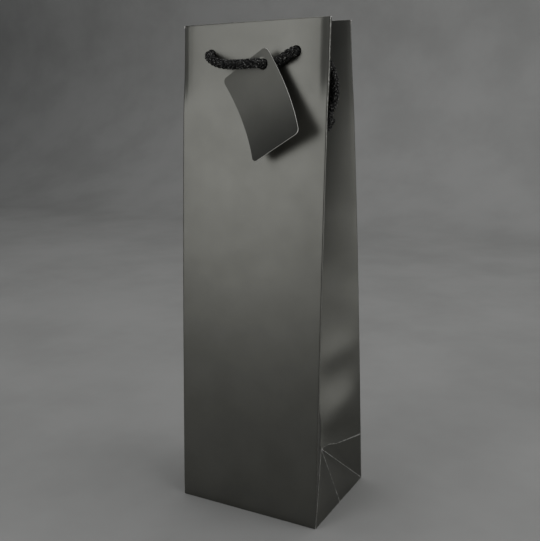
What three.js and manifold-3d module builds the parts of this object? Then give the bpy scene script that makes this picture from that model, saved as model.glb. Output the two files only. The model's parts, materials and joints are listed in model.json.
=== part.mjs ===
// Tall paper gift bag for one bottle, with side gussets, two cord handles and a swing tag.
// Millimetres, +Z up. The origin is the centre of the base, on the surface it stands on; the front faces -Y.
import * as THREE from 'three';
import { mergeVertices } from 'three/addons/utils/BufferGeometryUtils.js';
import Module from 'manifold-3d';

const wasm = await Module();
wasm.setup();

// Bag body.
const bag_width = 116;
const bag_depth = 88;
const bag_height = 360;
const mouth_depth = 36.5;
const paper_thickness = 0.4;
const glue_gap = 0.3;
const board_thickness = 1.0;
const board_clearance = 0.8;

// Top edge: a reinforcing card and the turned-in hem that covers it.
const card_thickness = 0.6;
const card_height = 34;
const hem_height = 38;
const hem_side_margin = 4.5;
const gusset_hem_gap = 0.45;

// Glued folds.
const seam_width = 15;
const flap_reach = 54;
const flap_end_setback = 9;

// Running clearances at the creases.
const crease_gap = 0.5;
const strip_columns = 5;
const strip_row_height = 12;
const pivot_gap_low = 3.6;
const pivot_gap_high = 0.6;
const diagonal_gap = 1.5;

// Cord handles: each cord runs along the outside between its two holes and ends in a knot in each gusset.
const cord_diameter = 7;
const cord_hole_clearance = 0.6;
const hole_spacing = 68;
const hole_drop = 21.5;
const gusset_hole_diameter = 9.4;
const gusset_hole_shift = 0.9;
const knot_diameter = 11.5;
const knot_length = 15;
const span_steps = 44;
const tail_steps = 26;

// Swing tag.
const tag_width = 43.5;
const tag_length = 65;
const tag_thickness = 0.8;
const tag_corner_radius = 3.5;
const tag_curl = 5;
const tag_hole_diameter = 10;
const tag_hole_from_side = 8.8;
const tag_hole_from_top = 7.6;
const tag_roll = THREE.MathUtils.degToRad(28.2);
const tag_tip = THREE.MathUtils.degToRad(-7.5);
const tag_turn = THREE.MathUtils.degToRad(-8);
const tag_hole_along = 12.6;
const tag_hole_drop = 8.1;
const tag_hole_standoff = 8.3;

// Derived sizes.
const half_width = bag_width / 2;
const half_depth = bag_depth / 2;
const wall_lean = Math.asin((bag_depth - mouth_depth) / 2 / bag_height);
const hem_inset = paper_thickness + glue_gap + card_thickness + glue_gap;
const fold_inset = hem_inset + paper_thickness + glue_gap + paper_thickness;
const strip_width = half_depth - fold_inset;
const hole_height = bag_height - hole_drop;

const outer_paper = material(0x4b4b47, 0.38, 0.75);
const inner_paper = material(0xdcdad4, 0.8, 0);
const grey_board = material(0x8d8a83, 0.9, 0);
const cord_yarn = material(0x1b1b1a, 0.85, 0);
const tag_card = material(0x454542, 0.4, 0.7);

const bag = new THREE.Group();
addBase(bag);
addWall(bag, 'front', 0);
addWall(bag, 'back', Math.PI);

function material(color, roughness, metalness) {
  return new THREE.MeshStandardMaterial({ color, roughness, metalness });
}

function addMesh(group, name, geometry, surface) {
  const mesh = new THREE.Mesh(geometry, surface);
  mesh.name = name;
  group.add(mesh);
  return mesh;
}

// Solid modelling: a closed geometry becomes a Manifold and comes back as a geometry.
function toManifold(geometry) {
  const bare = geometry.clone();
  bare.deleteAttribute('normal');
  bare.deleteAttribute('uv');
  const merged = mergeVertices(bare, 1e-4);
  return new wasm.Manifold(new wasm.Mesh({
    numProp: 3,
    vertProperties: new Float32Array(merged.attributes.position.array),
    triVerts: new Uint32Array(merged.index.array),
  }));
}

function toGeometry(solid) {
  const mesh = solid.getMesh();
  const geometry = new THREE.BufferGeometry();
  geometry.setAttribute('position', new THREE.BufferAttribute(mesh.vertProperties, 3));
  geometry.setIndex(new THREE.BufferAttribute(mesh.triVerts, 1));
  geometry.computeVertexNormals();
  return geometry;
}

function cutAway(geometry, cutters) {
  let solid = toManifold(geometry);
  for (const cutter of cutters) solid = solid.subtract(toManifold(cutter));
  return toGeometry(solid);
}

// A flat plate from an outline, filling z = low to low + thickness.
function plate(points, thickness, low, holes = []) {
  const shape = new THREE.Shape(points.map(([x, y]) => new THREE.Vector2(x, y)));
  for (const { x, y, radius } of holes) {
    shape.holes.push(new THREE.Path().absarc(x, y, radius, 0, Math.PI * 2, true));
  }
  const geometry = new THREE.ExtrudeGeometry(shape, { depth: thickness, bevelEnabled: false, curveSegments: 20 });
  return geometry.translate(0, 0, low);
}

function rectangle(left, bottom, right, top) {
  return [[left, bottom], [right, bottom], [right, top], [left, top]];
}

// Base: four glued flaps, the loose board on them, and the triangles that the gussets fold into.
function addBase(group) {
  const level = (layer) => layer * (paper_thickness + glue_gap);
  const edge_x = half_width - 4 * paper_thickness;
  const edge_y = half_depth - 2.5 * paper_thickness;
  const reach_end = edge_x - flap_reach;
  const fold = (sign, layer) => {
    const outline = [
      [-edge_x, -edge_y * sign],
      [edge_x, -edge_y * sign],
      [reach_end, (flap_reach - edge_y) * sign],
      [-reach_end, (flap_reach - edge_y) * sign],
    ];
    return plate(outline, paper_thickness, level(layer));
  };
  addMesh(group, 'bottom_flap_front', fold(1, 0), outer_paper);
  addMesh(group, 'bottom_flap_back', fold(-1, 1), outer_paper);
  for (const [side, sign] of [['left', -1], ['right', 1]]) {
    const outline = [
      [edge_x * sign, -edge_y],
      [edge_x * sign, edge_y],
      [reach_end * sign, edge_y - flap_end_setback],
      [reach_end * sign, flap_end_setback - edge_y],
    ];
    addMesh(group, `bottom_flap_${side}`, plate(outline, paper_thickness, level(2)), inner_paper);
    addBaseTriangles(group, side, sign);
  }
  const board_x = edge_x - board_clearance;
  const board_y = edge_y - board_clearance;
  const board = plate(rectangle(-board_x, -board_y, board_x, board_y), board_thickness, level(3));
  addMesh(group, 'bottom_board', board, grey_board);
}

// Angle of a gusset half, from square to the wall, where the gusset valley lies on the bag's middle plane.
function gussetAngle(height) {
  const reach = (half_depth - height * Math.sin(wall_lean)) / Math.cos(wall_lean);
  return Math.acos((reach - fold_inset) / strip_width);
}

function addBaseTriangles(group, side, sign) {
  const slope = gussetAngle(half_depth);
  const frame = new THREE.Group();
  frame.position.set(sign * half_width, 0, 0);
  frame.quaternion.setFromRotationMatrix(new THREE.Matrix4().makeBasis(
    new THREE.Vector3(0, sign, 0),
    new THREE.Vector3(-sign * Math.sin(slope), 0, Math.cos(slope)),
    new THREE.Vector3(sign * Math.cos(slope), 0, Math.sin(slope)),
  ));
  group.add(frame);
  const foot = paper_thickness * Math.tan(slope);
  for (const [end, way] of [['front', -1], ['back', 1]]) {
    const outline = [
      [way * sign * crease_gap / 2, foot],
      [way * sign * strip_width, foot],
      [way * sign * crease_gap / 2, strip_width],
    ];
    addMesh(frame, `${side}_base_triangle_${end}`, plate(outline, paper_thickness, -paper_thickness), outer_paper);
  }
}

// One tilted wall with all that hangs on it. Its own frame has x along the width, y up the wall, z outwards.
function addWall(parent, end, turn) {
  const wall = new THREE.Group();
  wall.rotation.set(Math.PI / 2 - wall_lean, 0, 0);
  wall.position.y = -half_depth;
  const side_group = new THREE.Group();
  side_group.rotation.z = turn;
  side_group.add(wall);
  parent.add(side_group);

  const radius = cord_diameter / 2 + cord_hole_clearance;
  const holes = [-1, 1].map((sign) => ({ x: sign * hole_spacing / 2, y: hole_height, radius }));
  const panel = rectangle(-half_width, crease_gap, half_width, bag_height);
  addMesh(wall, `${end}_panel`, plate(panel, paper_thickness, -paper_thickness, holes), outer_paper);
  addTopEdge(wall, end, holes);
  if (end === 'back') addSeam(wall);

  for (const sign of [-1, 1]) {
    const world_side = (turn === 0) === (sign > 0) ? 'right' : 'left';
    addGussetHalf(wall, `${world_side}_gusset_${end}`, sign);
    addCornerTriangle(wall, `${world_side}_corner_triangle_${end}`, sign);
    addTail(wall, end, world_side, sign);
  }
  addMesh(wall, `${end}_handle_cord`, cordSolid(spanRoute(end), span_steps), cord_yarn);
  if (end === 'front') addTag(wall);
}

function addTopEdge(wall, end, holes) {
  const side = half_width - hem_side_margin;
  const card = rectangle(-side, bag_height - card_height, side, bag_height - crease_gap);
  const card_low = -(paper_thickness + glue_gap + card_thickness);
  addMesh(wall, `${end}_top_card`, plate(card, card_thickness, card_low, holes), grey_board);
  const hem = rectangle(-side, bag_height - hem_height, side, bag_height);
  addMesh(wall, `${end}_hem`, plate(hem, paper_thickness, -hem_inset - paper_thickness, holes), outer_paper);
}

// The lengthwise glue flap, inside the back wall beside one fold.
function addSeam(wall) {
  const outer = half_width - hem_side_margin;
  const flap = rectangle(outer - seam_width, half_depth / 2, outer, bag_height - hem_height - glue_gap);
  addMesh(wall, 'side_seam_flap', plate(flap, paper_thickness, -(2 * paper_thickness + glue_gap)), inner_paper);
}

// A strip that twists from the base triangles to the mouth. (u, v) run across and up the strip, w through it.
function twistedStrip(sign, v_low, v_high, u_low, u_margin, depth_offset) {
  const length = v_high - v_low;
  const rows = Math.ceil(length / strip_row_height);
  const geometry = new THREE.BoxGeometry(1, length, paper_thickness, strip_columns, rows, 1);
  geometry.translate(0.5, v_low + length / 2, -sign * (paper_thickness / 2 + depth_offset));
  const position = geometry.attributes.position;
  for (let i = 0; i < position.count; i += 1) {
    const v = position.getY(i);
    const share = (v - half_depth) / (bag_height - half_depth);
    const pivot_gap = pivot_gap_low + (pivot_gap_high - pivot_gap_low) * share;
    const u = u_low + position.getX(i) * (strip_width - pivot_gap - u_margin - u_low);
    const w = position.getZ(i);
    const angle = gussetAngle(v);
    const x = sign * (half_width - u * Math.sin(angle)) + w * Math.cos(angle);
    const z = -fold_inset - u * Math.cos(angle) - sign * w * Math.sin(angle);
    position.setXYZ(i, x, v, z);
  }
  return geometry;
}

// The cord's hole through a gusset half, bored square to the wall.
function gussetHole(sign) {
  const bore = new THREE.CylinderGeometry(gusset_hole_diameter / 2, gusset_hole_diameter / 2, strip_width, 20);
  bore.rotateX(Math.PI / 2);
  return bore.translate(sign * (hole_spacing / 2 + gusset_hole_shift), hole_height, -hem_inset - strip_width / 2);
}

function addGussetHalf(wall, name, sign) {
  const low = half_depth + crease_gap;
  const strip = twistedStrip(sign, low, bag_height, 0, 0, 0);
  addMesh(wall, name, cutAway(strip, [gussetHole(sign)]), outer_paper);
  const inside = paper_thickness + gusset_hem_gap;
  const hem = twistedStrip(sign, bag_height - hem_height, bag_height - 0.5, hem_side_margin, 2, inside);
  addMesh(wall, `${name}_hem`, cutAway(hem, [gussetHole(sign)]), outer_paper);
}

// The upright triangle between a gusset's level crease and its diagonal crease.
function addCornerTriangle(wall, name, sign) {
  const angle = gussetAngle(half_depth);
  const frame = new THREE.Group();
  frame.position.set(sign * half_width, 0, -fold_inset);
  frame.rotation.y = Math.atan2(Math.cos(angle), -sign * Math.sin(angle));
  wall.add(frame);
  const top = half_depth - crease_gap;
  const rise = fold_inset + diagonal_gap;
  const outline = [[0, rise], [top - rise, top], [0, top]];
  const low = sign > 0 ? -paper_thickness : 0;
  addMesh(frame, name, plate(outline, paper_thickness, low), outer_paper);
}

// Points of the cord in the wall's frame, with heights counted from the holes. The span lies outside.
function spanRoute(end) {
  const route = end === 'front'
    ? [[-34, 0, -6], [-34, 0, -2], [-33.7, -0.3, 2], [-31.6, -1.9, 6.2], [-27.4, -4.4, 9.4],
      [-21.5, -6.9, 11], [-14, -8.2, 11.8], [-5, -8.6, 12.8], [3, -8.5, 13.6], [8.4, -8.3, 12.9],
      [11.6, -8.1, 10.2], [13.2, -8, 6.8], [16.2, -7.8, 4.4], [21, -6.9, 4.1], [26, -5.2, 5.4],
      [30.4, -2.7, 5.8], [33.1, -0.5, 3.2], [34, 0, -1.5], [34, 0, -6]]
    : [[-34, 0, -6], [-34, 0, -2], [-33.7, -0.3, 2], [-31.7, -2.1, 5.8], [-27.6, -4.9, 7.6],
      [-21, -7.3, 6.4], [-11, -8.8, 5.2], [0, -9.3, 4.8], [11, -8.8, 5.2], [21, -7.3, 6.4],
      [27.6, -4.9, 7.6], [31.7, -2.1, 5.8], [33.7, -0.3, 2], [34, 0, -2], [34, 0, -6]];
  return route.map(([x, rise, z]) => new THREE.Vector3(x, hole_height + rise, z));
}

// The tail goes on through the gusset half and hangs in the gusset's valley, down to its knot.
function tailRoute(end, sign) {
  const route = end === 'front'
    ? [[34, 0, -6.6], [34.1, 0, -10], [36, -0.5, -14.8], [38.4, -4, -18], [39.5, -10.5, -18.5],
      [40, -23.5, -18.4], [40, -38.5, -18.3], [40.4, -52.5, -19.4], [40.6, -61.5, -20.2]]
    : [[34, 0, -6.6], [34.1, 0, -10], [36.8, -0.3, -14.4], [42, -3.1, -15.4], [46.6, -8.9, -13.8],
      [48.8, -17.5, -12.7], [49.3, -26.5, -12.7], [48.8, -33, -14.4], [47.6, -38.7, -16.4]];
  return route.map(([x, rise, z]) => new THREE.Vector3(sign * x, hole_height + rise, z));
}

function cordSolid(route, steps) {
  const curve = new THREE.CatmullRomCurve3(route, false, 'centripetal');
  const section = new THREE.Shape().absarc(0, 0, cord_diameter / 2, 0, Math.PI * 2);
  return new THREE.ExtrudeGeometry(section, { steps, extrudePath: curve, curveSegments: 4, bevelEnabled: false });
}

function addTail(wall, end, world_side, sign) {
  const route = tailRoute(end, sign);
  addMesh(wall, `${end}_tail_${world_side}`, cordSolid(route, tail_steps), cord_yarn);
  addKnot(wall, `${end}_knot_${world_side}`, route[route.length - 1], route[route.length - 2]);
}

// A knot on the end of a cord: a rounded body in line with the cord's last stretch.
function addKnot(wall, name, tip, before) {
  const along = new THREE.Vector3().subVectors(tip, before).normalize();
  const radius = knot_diameter / 2;
  const profile = [];
  for (let i = 0; i <= 8; i += 1) {
    const swing = -Math.PI / 2 + Math.PI * i / 8;
    profile.push(new THREE.Vector2(radius * Math.cos(swing), knot_length / 2 * Math.sin(swing)));
  }
  profile[0].x = 0;
  profile[8].x = 0;
  const knot = addMesh(wall, name, new THREE.LatheGeometry(profile, 14), cord_yarn);
  knot.quaternion.setFromUnitVectors(new THREE.Vector3(0, 1, 0), along);
  knot.position.copy(tip).addScaledVector(along, knot_length / 2 + 0.35);
}

// A curled card with rounded corners, hung on the front cord by a hole near one corner.
function addTag(wall) {
  const curl_radius = tag_length ** 2 / (8 * tag_curl);
  const half_angle = Math.asin(tag_length / 2 / curl_radius);
  const arc_centre = curl_radius - tag_curl;
  const band = new THREE.Shape();
  band.absarc(0, arc_centre, curl_radius + tag_thickness / 2, -Math.PI / 2 - half_angle, -Math.PI / 2 + half_angle);
  band.absarc(0, arc_centre, curl_radius - tag_thickness / 2, -Math.PI / 2 + half_angle, -Math.PI / 2 - half_angle, true);
  const sheet = new THREE.ExtrudeGeometry(band, { depth: tag_width, bevelEnabled: false, curveSegments: 16 });
  sheet.translate(0, 0, -tag_width / 2);
  sheet.applyMatrix4(new THREE.Matrix4().makeBasis(
    new THREE.Vector3(0, 1, 0), new THREE.Vector3(0, 0, 1), new THREE.Vector3(1, 0, 0),
  ));
  const x = tag_width / 2;
  const y = tag_length / 2 - 0.3;
  const r = tag_corner_radius;
  const outline = new THREE.Shape();
  outline.absarc(x - r, y - r, r, 0, Math.PI / 2);
  outline.absarc(r - x, y - r, r, Math.PI / 2, Math.PI);
  outline.absarc(r - x, r - y, r, Math.PI, Math.PI * 1.5);
  outline.absarc(x - r, r - y, r, Math.PI * 1.5, Math.PI * 2);
  const hole_x = x - tag_hole_from_side;
  const hole_y = tag_length / 2 - tag_hole_from_top;
  outline.holes.push(new THREE.Path().absarc(hole_x, hole_y, tag_hole_diameter / 2, 0, Math.PI * 2, true));
  const block = new THREE.ExtrudeGeometry(outline, { depth: 4 * tag_curl, bevelEnabled: false, curveSegments: 6 });
  block.translate(0, 0, -3 * tag_curl);
  const card = toManifold(sheet).intersect(toManifold(block));
  const hole_z = arc_centre - Math.sqrt(curl_radius ** 2 - hole_y ** 2);
  const geometry = toGeometry(card).translate(-hole_x, -hole_y, -hole_z);

  const roll = new THREE.Group();
  roll.position.set(tag_hole_along, hole_height - tag_hole_drop, tag_hole_standoff);
  roll.rotation.z = tag_roll;
  wall.add(roll);
  const tag = addMesh(roll, 'gift_tag', geometry, tag_card);
  tag.rotation.set(tag_tip, tag_turn, 0, 'XYZ');
}

export default bag;
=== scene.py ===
import json
import math

import bpy
import numpy as np
from mathutils import Matrix, Vector


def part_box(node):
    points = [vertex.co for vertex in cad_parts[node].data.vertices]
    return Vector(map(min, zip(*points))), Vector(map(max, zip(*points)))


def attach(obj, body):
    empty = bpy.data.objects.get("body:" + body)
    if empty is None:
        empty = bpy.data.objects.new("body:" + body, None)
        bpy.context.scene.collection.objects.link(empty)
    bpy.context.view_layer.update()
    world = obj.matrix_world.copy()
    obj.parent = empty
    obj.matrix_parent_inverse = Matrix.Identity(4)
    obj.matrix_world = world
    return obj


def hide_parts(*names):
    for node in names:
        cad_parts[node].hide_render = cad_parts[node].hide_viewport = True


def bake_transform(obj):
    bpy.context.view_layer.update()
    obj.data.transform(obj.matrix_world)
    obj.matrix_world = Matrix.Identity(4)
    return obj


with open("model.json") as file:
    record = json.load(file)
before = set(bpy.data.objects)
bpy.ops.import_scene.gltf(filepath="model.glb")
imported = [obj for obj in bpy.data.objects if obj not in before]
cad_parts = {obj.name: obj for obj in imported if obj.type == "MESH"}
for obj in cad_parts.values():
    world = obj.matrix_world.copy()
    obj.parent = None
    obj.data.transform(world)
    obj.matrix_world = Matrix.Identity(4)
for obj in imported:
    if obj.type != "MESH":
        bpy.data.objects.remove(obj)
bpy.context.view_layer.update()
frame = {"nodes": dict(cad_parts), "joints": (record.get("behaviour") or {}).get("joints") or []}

MM = 0.001

# ---------------------------------------------------------------- sizes, from the frame and in metres
joints = {joint["name"]: joint for joint in frame["joints"]}
side_fold = joints["right_front_fold"]
HALF_DEPTH = -joints["mouth"]["pos_m"][1]
HALF_WIDTH = side_fold["pos_m"][0]
LEAN = math.atan2(side_fold["axis"][1], side_fold["axis"][2])
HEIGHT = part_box("front_panel")[1].z / math.cos(LEAN)
KNOT_LENGTH = 15 * MM
HOLE_SPACING = 68 * MM
HOLE_HEIGHT = HEIGHT - 21.5 * MM
CORD_DIAMETER = 7 * MM

# Cords: how far one winding of a strand runs, and the knot's own thinner cord and windings.
CORD_PITCH = 21.6 * MM
STRANDS = 12
STRAND_SIDES = 7
CORE_SIDES = 10
PATH_POINTS = 90
KNOT_PITCH = 17 * MM
KNOT_CORD_DIAMETER = 5.4 * MM
KNOT_WINDING_RADIUS = 2.75 * MM
KNOT_TURNS = 1.9
KNOT_STEPS = 26

# Paper and its folds.
PAPER = 0.3 * MM
CARD_HEIGHT = 36 * MM
HEM_HEIGHT = 38 * MM
EDGE_ROLL = 0.875 * MM
FOOT_ROLL = 0.85 * MM
SIDE_ROLL = 0.8 * MM
FOLD_DEPTH = 1.0 * MM
FOLD_DEPTH_AT_CARD = 2.7 * MM
HEM_DEPTH = 1.45 * MM
GUSSET_ROLL = 0.45 * MM
PANEL_HOLE = CORD_DIAMETER / 2 + 0.35 * MM
GUSSET_HOLE = 4.7 * MM
GUSSET_HOLE_SHIFT = 0.9 * MM
GUSSET_BORE_DEPTH = 14 * MM
GUSSET_BORE_LENGTH = 24 * MM
FINE_BELOW_MOUTH = 60 * MM
FOOT_EDGE = 0.3 * MM
OUTWARD_BOW = 1.1 * MM
INWARD_BOW = 0.4 * MM
PANEL_PEAK = 15 * MM

# Swing tag.
TAG_WIDTH = 43.5 * MM
TAG_LENGTH = 65 * MM
TAG_THICKNESS = 0.6 * MM
TAG_CORNER = 3.5 * MM
TAG_CURL = 5 * MM
TAG_HOLE = 4.6 * MM
TAG_PUNCH = TAG_HOLE - 0.4 * MM
TAG_HOLE_FROM_SIDE = 8.8 * MM
TAG_HOLE_FROM_TOP = 7.6 * MM
TAG_PLACE = (12.6 * MM, HOLE_HEIGHT - 8.1 * MM, 8.3 * MM)
TAG_ROLL = math.radians(28.2)
TAG_TIP = math.radians(-7.5)
TAG_TURN = math.radians(-8)

# Camera: where it stands, its lens in millimetres and its turns in degrees.
CAMERA_PLACE = (0.27665, -0.5004, 0.3105)
CAMERA_LENS = 51.35
CAMERA_YAW = 28.97
CAMERA_PITCH = 12.95
CAMERA_ROLL = -1.04

# Floor, which turns up into a backdrop behind the bag.
FLOOR_FRONT = -4.0
FLOOR_BACK = 1.1
FLOOR_HALF_WIDTH = 4
BACKDROP_TOP = 3.0
SWEEP_RADIUS = 0.5
SWEEP_STEPS = 24


# ---------------------------------------------------------------- small tools
def ease(t):
    t = np.clip(t, 0, 1)
    return t * t * (3 - 2 * t)


def hump(x, centre, width):
    return np.exp(-(((x - centre) / width) ** 2))


def wall_frame(end):
    """The frame of a wall: x across it, y up it and z outwards, from the middle of its foot."""
    tilt = Matrix.Translation((0, -HALF_DEPTH, 0)) @ Matrix.Rotation(math.pi / 2 - LEAN, 4, "X")
    return tilt if end == "front" else Matrix.Rotation(math.pi, 4, "Z") @ tilt


def placed(points, matrix):
    """Points, as rows of x, y and z, moved by a matrix."""
    m = np.array(matrix)
    return points @ m[:3, :3].T + m[:3, 3]


def only(obj):
    """obj is the one selected and active object."""
    bpy.ops.object.select_all(action="DESELECT")
    obj.select_set(True)
    bpy.context.view_layer.objects.active = obj


def linked(name, mesh):
    obj = bpy.data.objects.new(name, mesh)
    bpy.context.scene.collection.objects.link(obj)
    return obj


def apply_modifier(obj, kind, **settings):
    only(obj)
    modifier = obj.modifiers.new(kind.lower(), kind)
    for key, value in settings.items():
        setattr(modifier, key, value)
    bpy.ops.object.modifier_apply(modifier=modifier.name)


def smooth(obj, degrees=35):
    only(obj)
    bpy.ops.object.shade_smooth_by_angle(angle=math.radians(degrees))


def grid_quads(rows, columns):
    at = np.arange(rows * columns).reshape(rows, columns)
    corners = [at[:-1, :-1], at[:-1, 1:], at[1:, 1:], at[1:, :-1]]
    return np.stack(corners, -1).reshape(-1, 4)


def paper_piece(name, points, wear, outward, faces, thickness=PAPER):
    """A paper from a grid of points on its outer face.

    faces are the materials of its outer and its inner side, and the inner one also covers the cut edge.
    """
    rows, columns = points.shape[:2]
    quads = grid_quads(rows, columns)
    flat = points.reshape(-1, 3)
    across = flat[quads[:, 2]] - flat[quads[:, 0]]
    along = flat[quads[:, 3]] - flat[quads[:, 1]]
    if np.cross(across, along).sum(0) @ np.array(outward) < 0:
        quads = quads[:, ::-1]
    mesh = bpy.data.meshes.new(name)
    mesh.from_pydata(flat.tolist(), [], quads.tolist())
    # Per-point mask along folds and creases, kept as a mesh attribute: it marks worn film and also paints a
    # highlight on the folds.
    layer = mesh.attributes.new("wear", "FLOAT", "POINT")
    layer.data.foreach_set("value", np.asarray(wear, np.float32).ravel())
    obj = linked(name, mesh)
    for material in faces:
        mesh.materials.append(material)
    only(obj)
    bpy.ops.object.mode_set(mode="EDIT")
    bpy.ops.mesh.select_all(action="SELECT")
    bpy.ops.mesh.remove_doubles(threshold=1e-6)
    bpy.ops.object.mode_set(mode="OBJECT")
    apply_modifier(
        obj, "SOLIDIFY", thickness=thickness, offset=-1, material_offset=1, material_offset_rim=1
    )
    return obj


def bored(obj, centre, direction, radius, depth, core):
    """Cuts a round hole through obj with a bar that has the cut edge's material."""
    turn = Vector((0, 0, 1)).rotation_difference(Vector(direction))
    bpy.ops.object.select_all(action="DESELECT")
    bpy.ops.mesh.primitive_cylinder_add(
        vertices=32, radius=radius, depth=depth, location=centre, rotation=turn.to_euler()
    )
    bar = bpy.context.object
    bar.data.materials.append(core)
    apply_modifier(
        obj, "BOOLEAN", operation="DIFFERENCE", object=bar, solver="EXACT", material_mode="TRANSFER"
    )
    bpy.data.objects.remove(bar)


def cut_along(axis, places):
    """Cuts the whole mesh in edit mode square to an axis at each place, to give it rows that can bend."""
    normal = [0, 0, 0]
    normal[axis] = 1
    for place in places:
        point = [0, 0, 0]
        point[axis] = place
        bpy.ops.mesh.select_all(action="SELECT")
        bpy.ops.mesh.bisect(plane_co=point, plane_no=normal)


# ---------------------------------------------------------------- shader node groups
def add_node(tree, kind, **settings):
    node = tree.nodes.new(kind)
    for key, value in settings.items():
        setattr(node, key, value)
    return node


def new_group(name, inputs, outputs):
    tree = bpy.data.node_groups.new(name, "ShaderNodeTree")
    for label, kind, value in inputs:
        socket = tree.interface.new_socket(label, in_out="INPUT", socket_type=kind)
        if value is not None:
            socket.default_value = value
    for label in outputs:
        tree.interface.new_socket(label, in_out="OUTPUT", socket_type="NodeSocketFloat")
    return tree, add_node(tree, "NodeGroupInput"), add_node(tree, "NodeGroupOutput")


def ramp(tree, source, low, high, to_low=0.0, to_high=1.0):
    """A value carried from one range to another, smoothly, and held at its ends."""
    node = add_node(tree, "ShaderNodeMapRange", interpolation_type="SMOOTHSTEP")
    for label, value in (("From Min", low), ("From Max", high), ("To Min", to_low), ("To Max", to_high)):
        node.inputs[label].default_value = value
    tree.links.new(source, node.inputs["Value"])
    return node.outputs["Result"]


def noise(tree, vector, scale, detail=3.0, roughness=0.55, distortion=0.0):
    node = add_node(tree, "ShaderNodeTexNoise")
    node.inputs["Detail"].default_value = detail
    node.inputs["Roughness"].default_value = roughness
    node.inputs["Distortion"].default_value = distortion
    tree.links.new(vector, node.inputs["Vector"])
    if isinstance(scale, (int, float)):
        node.inputs["Scale"].default_value = scale
    else:
        tree.links.new(scale, node.inputs["Scale"])
    return node.outputs["Fac"]


def calculate(tree, operation, first, second):
    node = add_node(tree, "ShaderNodeMath", operation=operation)
    for socket, value in zip(node.inputs, (first, second)):
        if isinstance(value, (int, float)):
            socket.default_value = value
        else:
            tree.links.new(value, socket)
    return node.outputs["Value"]


def stretched(tree, vector, scale, turn=(0, 0, 0)):
    node = add_node(tree, "ShaderNodeMapping")
    node.inputs["Scale"].default_value = scale
    node.inputs["Rotation"].default_value = turn
    tree.links.new(vector, node.inputs["Vector"])
    return node.outputs["Vector"]


def fibre_grain_group():
    """The tooth of paper or board: fine fibres and the cloudiness of the pulp."""
    tree, start, end = new_group(
        "fibre_grain",
        [("Vector", "NodeSocketVector", None), ("Scale", "NodeSocketFloat", 900.0)],
        ["Height", "Cloud"],
    )
    vector = start.outputs["Vector"]
    fine = noise(tree, vector, start.outputs["Scale"], 4.0, 0.6)
    drawn_out = stretched(tree, vector, (1, 3.2, 0.7), (0.4, 0.3, 0.8))
    fibres = noise(tree, drawn_out, start.outputs["Scale"], 2.0, 0.5, 1.2)
    tree.links.new(calculate(tree, "ADD", fine, fibres), end.inputs["Height"])
    tree.links.new(ramp(tree, noise(tree, vector, 38.0, 3.0), 0.25, 0.75), end.inputs["Cloud"])
    return tree


def fold_wear_and_highlight_group():
    """Where a fold has worn the film pale, together with a painted highlight along folds and creases, broken
    up along its length.
    """
    tree, start, end = new_group(
        "fold_wear",
        [
            ("Vector", "NodeSocketVector", None),
            ("Wear", "NodeSocketFloat", 0.0),
            ("Breakup", "NodeSocketFloat", 0.35),
        ],
        ["Mask"],
    )
    chips = noise(tree, start.outputs["Vector"], 420.0, 4.0, 0.65)
    loss = calculate(tree, "MULTIPLY", ramp(tree, chips, 0.35, 0.7), start.outputs["Breakup"])
    left = calculate(tree, "SUBTRACT", start.outputs["Wear"], loss)
    tree.links.new(ramp(tree, left, 0.12, 0.7), end.inputs["Mask"])
    return tree


def handling_marks_group():
    """Hairline scuffs and the dull patches that fingers leave on a satin film."""
    tree, start, end = new_group(
        "handling_marks",
        [("Vector", "NodeSocketVector", None), ("Amount", "NodeSocketFloat", 1.0)],
        ["Scuffs", "Smudges"],
    )
    vector = start.outputs["Vector"]
    masks = []
    for turn, scale in (((0.2, 0.5, 0.35), (40, 900, 900)), ((0.9, -0.4, -0.8), (900, 55, 900))):
        lines = noise(tree, stretched(tree, vector, scale, turn), 1.0, 1.0, 0.4)
        masks.append(ramp(tree, lines, 0.735, 0.79))
    where = ramp(tree, noise(tree, vector, 24.0, 2.0), 0.52, 0.68)
    both = calculate(tree, "MULTIPLY", calculate(tree, "MAXIMUM", *masks), where)
    tree.links.new(calculate(tree, "MULTIPLY", both, start.outputs["Amount"]), end.inputs["Scuffs"])
    tree.links.new(ramp(tree, noise(tree, vector, 17.0, 4.0, 0.6, 0.6), 0.3, 0.72), end.inputs["Smudges"])
    return tree


def yarn_twist_group():
    """Plies of yarn that wind along a strand, whose UVs run along it and around it."""
    tree, start, end = new_group(
        "yarn_twist",
        [("UV", "NodeSocketVector", None), ("Plies", "NodeSocketFloat", 7.0)],
        ["Height", "Fuzz"],
    )
    parts = add_node(tree, "ShaderNodeSeparateXYZ")
    tree.links.new(start.outputs["UV"], parts.inputs["Vector"])
    around = calculate(tree, "MULTIPLY", parts.outputs["Y"], start.outputs["Plies"])
    winding = calculate(tree, "ADD", around, calculate(tree, "MULTIPLY", parts.outputs["X"], 0.55))
    wave = calculate(tree, "SINE", calculate(tree, "MULTIPLY", winding, 2 * math.pi), 0.0)
    tree.links.new(ramp(tree, wave, -1.0, 1.0), end.inputs["Height"])
    fuzz = noise(tree, stretched(tree, start.outputs["UV"], (0.5, 3.4, 1.0)), 1.6, 3.0, 0.6)
    tree.links.new(ramp(tree, fuzz, 0.48, 0.7), end.inputs["Fuzz"])
    return tree


groups = {
    "grain": fibre_grain_group(),
    "wear": fold_wear_and_highlight_group(),
    "marks": handling_marks_group(),
    "twist": yarn_twist_group(),
}


# ---------------------------------------------------------------- materials
def new_material(name, metallic, roughness, ior=1.5):
    material = bpy.data.materials.new(name)
    material.use_nodes = True
    tree = material.node_tree
    shader = tree.nodes["Principled BSDF"]
    shader.inputs["Metallic"].default_value = metallic
    shader.inputs["Roughness"].default_value = roughness
    shader.inputs["IOR"].default_value = ior
    return material, tree, shader


def placed_group(tree, key, **values):
    node = add_node(tree, "ShaderNodeGroup", node_tree=groups[key])
    for label, value in values.items():
        socket = node.inputs[label.replace("_", " ")]
        if isinstance(value, (int, float)):
            socket.default_value = value
        else:
            tree.links.new(value, socket)
    return node.outputs


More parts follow.
